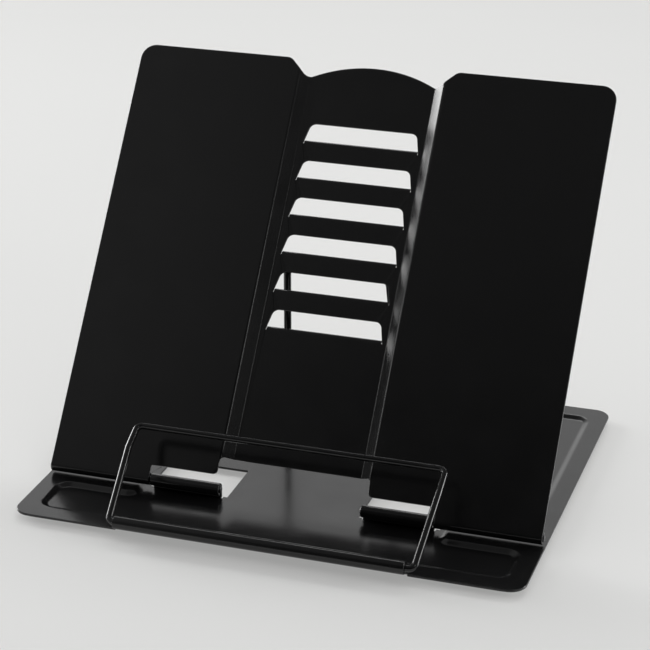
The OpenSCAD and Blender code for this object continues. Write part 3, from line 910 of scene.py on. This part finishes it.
def build_page_holder():
    """The wire loop in front that keeps the pages open."""
    w, b = chosen("wire"), chosen("base")
    axis = Vector(JOINTS["page_holder_swing"]["pos_m"])
    tail = axis + Vector((w.holder_tail - b.hem_w / 2, 0, 0))
    foot = axis + Vector((-w.holder_leg_x, 0, 0))
    kink = foot + Vector((-w.holder_spread, w.kink_back, w.kink_up))
    bar = kink + Vector((0, w.bar_back, w.bar_up))
    slid = Vector((w.holder_shift, 0, 0))
    corners = [p + slid for p in both_halves([tail, foot, kink, bar])]
    radii = [w.holder_foot_r, w.kink_r, w.bar_r]
    wire_piece("page_wire", corners, radii + radii[::-1], w.holder_r, "holder", "page_holder")


def build_strut():
    """The wire strut behind the panel."""
    w, p = chosen("wire"), chosen("panel")
    axis = Vector(JOINTS["strut_fold"]["pos_m"])
    hinge = Vector(JOINTS["panel_tilt"]["pos_m"])
    up = Vector((0, math.sin(p.lean), math.cos(p.lean)))
    back = Vector((0, math.cos(p.lean), -math.sin(p.lean)))
    bar = hinge + up * w.strut_up + back * w.strut_back
    half = [
        axis + Vector((-w.strut_end_x, 0, 0)),
        axis + Vector((-w.strut_foot_w / 2, 0, 0)),
        bar + Vector((-w.strut_top_w / 2, 0, 0)),
    ]
    corners = both_halves(half)
    radii = [w.strut_bend] * (len(corners) - 2)
    wire_piece("strut_wire", corners, radii, w.strut_r, "strut", "support_strut")


def build_pins():
    """The two hinge pins, their ends rounded over."""
    r = chosen("round")
    for side in ("left", "right"):
        node = "hinge_pin_" + side
        low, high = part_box(node)
        radius, half = (high.z - low.z) / 2, (high.x - low.x) / 2
        end = [(x, half - depth) for x, depth in soft_edge(radius, radius * r.pin_soft, r.pin_steps)]
        profile = [(0, half)] + end + [(x, -z) for x, z in reversed(end)] + [(0, -half)]
        along_x = Matrix.Translation((low + high) / 2) @ Matrix.Rotation(math.pi / 2, 4, "Y")
        mesh = bmesh.new()
        add_lathe(mesh, profile[::-1], r.sides, along_x)
        body = frame["nodes"][node]["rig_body"]
        new_piece("pin_" + side, mesh, [kept("blackened_rod", drawn_steel)], body, node)


def build_feet():
    """The four rubber feet, rounded below and dished in the middle."""
    r = chosen("round")
    for node in [n for n in frame["nodes"] if n.startswith("foot_")]:
        low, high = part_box(node)
        middle = (low + high) / 2
        radius = (high.x - low.x) / 2
        soft = (high.z - low.z) * r.foot_soft
        edge = [(x, low.z + depth) for x, depth in soft_edge(radius, soft, r.foot_steps)]
        dish = [(0, low.z + soft), (radius * r.dish_top, low.z + soft)]
        dish += [(radius * r.dish_knee, low.z + soft * r.knee_height), (radius * r.dish_mouth, low.z)]
        profile = dish + edge + [(radius, high.z), (0, high.z)]
        mesh = bmesh.new()
        add_lathe(mesh, profile, r.sides, Matrix.Translation((middle.x, middle.y, 0)))
        new_piece("rubber_" + node, mesh, [kept("moulded_rubber", foot_rubber)], "base", node)


# The studio


def toward(spot, aim):
    """The turn that makes a lamp or camera at a spot look at its aim."""
    return (Vector(aim) - Vector(spot)).to_track_quat("-Z", "Y")


def build_lamps():
    """Soft boxes, each turned toward its aim."""
    for lamp in LAMPS:
        light = bpy.data.lights.new(lamp.name, "AREA")
        light.shape = "RECTANGLE"
        light.size, light.size_y = lamp.wide, lamp.high
        light.energy = lamp.power
        light.spread = math.radians(lamp.spread)
        box = new_object(lamp.name, light)
        box.location = lamp.spot
        box.rotation_euler = toward(lamp.spot, lamp.aim).to_euler()
        box.visible_glossy = lamp.reflected


def build_world():
    """Studio walls: pale behind the stand, dim behind the camera."""
    studio = chosen("studio")
    world = bpy.data.worlds.new("studio")
    world.use_nodes = True
    tree = world.node_tree
    aim = add_node(tree, "ShaderNodeSeparateXYZ")
    tree.links.new(add_node(tree, "ShaderNodeTexCoord").outputs["Generated"], aim.inputs["Vector"])
    front = spread(tree, aim.outputs["Y"], studio.front_edge, (studio.sky_low, studio.sky_front))
    rear = spread(tree, aim.outputs["Y"], studio.rear_edge, (0.0, studio.sky_rear))
    left = spread(tree, aim.outputs["X"], studio.left_edge, (0.0, studio.sky_left))
    tree.links.new(combined(tree, "ADD", front, (rear, left)), tree.nodes["Background"].inputs["Color"])
    bpy.context.scene.world = world


def floor_finish():
    """Matt pale floor, part of which shows its own colour to the camera and to clear or glossy surfaces."""
    studio = chosen("studio")
    material, tree, shader, where = blank_finish("floor")
    pale = tuple(studio.floor)
    shaded = tuple(c * studio.floor_shade for c in pale)
    tone = spread(tree, noise(tree, where, studio.floor_scale), NOISE_REACH)
    tree.links.new(mixed(tree, tone, pale, shaded), shader.inputs["Base Color"])
    shader.inputs["Roughness"].default_value = studio.floor_rough
    glow = add_node(tree, "ShaderNodeEmission", {"Color": (*pale, 1.0)})
    ray = add_node(tree, "ShaderNodeLightPath").outputs
    others = (ray["Is Glossy Ray"], ray["Is Transmission Ray"])
    seen = combined(tree, "MAXIMUM", ray["Is Camera Ray"], others)
    part = add_node(tree, "ShaderNodeMath", {1: studio.floor_glow}, operation="MULTIPLY")
    tree.links.new(seen, part.inputs[0])
    blend = add_node(tree, "ShaderNodeMixShader")
    tree.links.new(part.outputs[0], blend.inputs["Fac"])
    tree.links.new(shader.outputs["BSDF"], blend.inputs[1])
    tree.links.new(glow.outputs["Emission"], blend.inputs[2])
    tree.links.new(blend.outputs["Shader"], tree.nodes["Material Output"].inputs["Surface"])
    return material


def build_floor():
    """Pale floor of the studio."""
    half = chosen("studio").floor_half
    mesh = bpy.data.meshes.new("floor")
    corners = [(-half, -half, 0), (half, -half, 0), (half, half, 0), (-half, half, 0)]
    mesh.from_pydata(corners, [], [(0, 1, 2, 3)])
    mesh.materials.append(floor_finish())
    floor = new_object("floor", mesh)


def build_camera():
    """Camera at the photograph's place."""
    studio = chosen("studio")
    data = bpy.data.cameras.new("camera")
    data.lens = studio.camera_lens
    camera = new_object("camera", data)
    camera.location = studio.camera_place
    look = toward(studio.camera_place, studio.camera_aim).to_matrix()
    camera.rotation_euler = (look @ Matrix.Rotation(studio.camera_roll, 3, "Z")).to_euler()
    bpy.context.scene.camera = camera


# Operators


class STAND_OT_stage(bpy.types.Operator):
    """Makes the camera, the floor, the lamps and the studio's walls"""

    bl_idname = "stand.stage"
    bl_label = "Stage"

    def execute(self, context):
        context.scene.view_settings.view_transform = "Standard"
        build_camera()
        build_floor()
        build_world()
        build_lamps()
        return {"FINISHED"}


class STAND_OT_base(bpy.types.Operator):
    """Makes the base sheet with its pan, hem, knuckles and curls"""

    bl_idname = "stand.base"
    bl_label = "Base"

    def execute(self, context):
        build_base()
        return {"FINISHED"}


class STAND_OT_panel(bpy.types.Operator):
    """Makes the back panel with its channel, slots, tabs and knuckles"""

    bl_idname = "stand.panel"
    bl_label = "Back panel"

    def execute(self, context):
        build_panel()
        return {"FINISHED"}


class STAND_OT_wires(bpy.types.Operator):
    """Makes the page holder and the support strut"""

    bl_idname = "stand.wires"
    bl_label = "Wires"

    def execute(self, context):
        build_page_holder()
        build_strut()
        return {"FINISHED"}


class STAND_OT_pins(bpy.types.Operator):
    """Makes the two hinge pins"""

    bl_idname = "stand.pins"
    bl_label = "Hinge pins"

    def execute(self, context):
        build_pins()
        return {"FINISHED"}


class STAND_OT_feet(bpy.types.Operator):
    """Makes the four rubber feet"""

    bl_idname = "stand.feet"
    bl_label = "Rubber feet"

    def execute(self, context):
        build_feet()
        return {"FINISHED"}


OPERATORS = (STAND_OT_stage, STAND_OT_base, STAND_OT_panel, STAND_OT_wires, STAND_OT_pins, STAND_OT_feet)


class STAND_PT_sidebar(bpy.types.Panel):
    """Lists the stand's operators and sizes"""

    bl_idname = "STAND_PT_sidebar"
    bl_label = "Book stand"
    bl_space_type = "VIEW_3D"
    bl_region_type = "UI"
    bl_category = "Book stand"

    def draw(self, context):
        for operator in OPERATORS:
            self.layout.operator(operator.bl_idname)
        for key, group in GROUPS.items():
            box = self.layout.box()
            box.label(text=group.__doc__)
            for name in group.__annotations__:
                box.prop(getattr(context.scene, key), name)


CLASSES = (*GROUPS.values(), *OPERATORS, STAND_PT_sidebar)


def register():
    for cls in CLASSES:
        bpy.utils.register_class(cls)
    for key, group in GROUPS.items():
        setattr(bpy.types.Scene, key, PointerProperty(type=group))


def unregister():
    for key in GROUPS:
        delattr(bpy.types.Scene, key)
    for cls in reversed(CLASSES):
        bpy.utils.unregister_class(cls)


def main():
    register()
    bpy.ops.stand.stage()
    bpy.ops.stand.base()
    bpy.ops.stand.panel()
    bpy.ops.stand.wires()
    bpy.ops.stand.pins()
    bpy.ops.stand.feet()


if __name__ == "__main__":
    main()
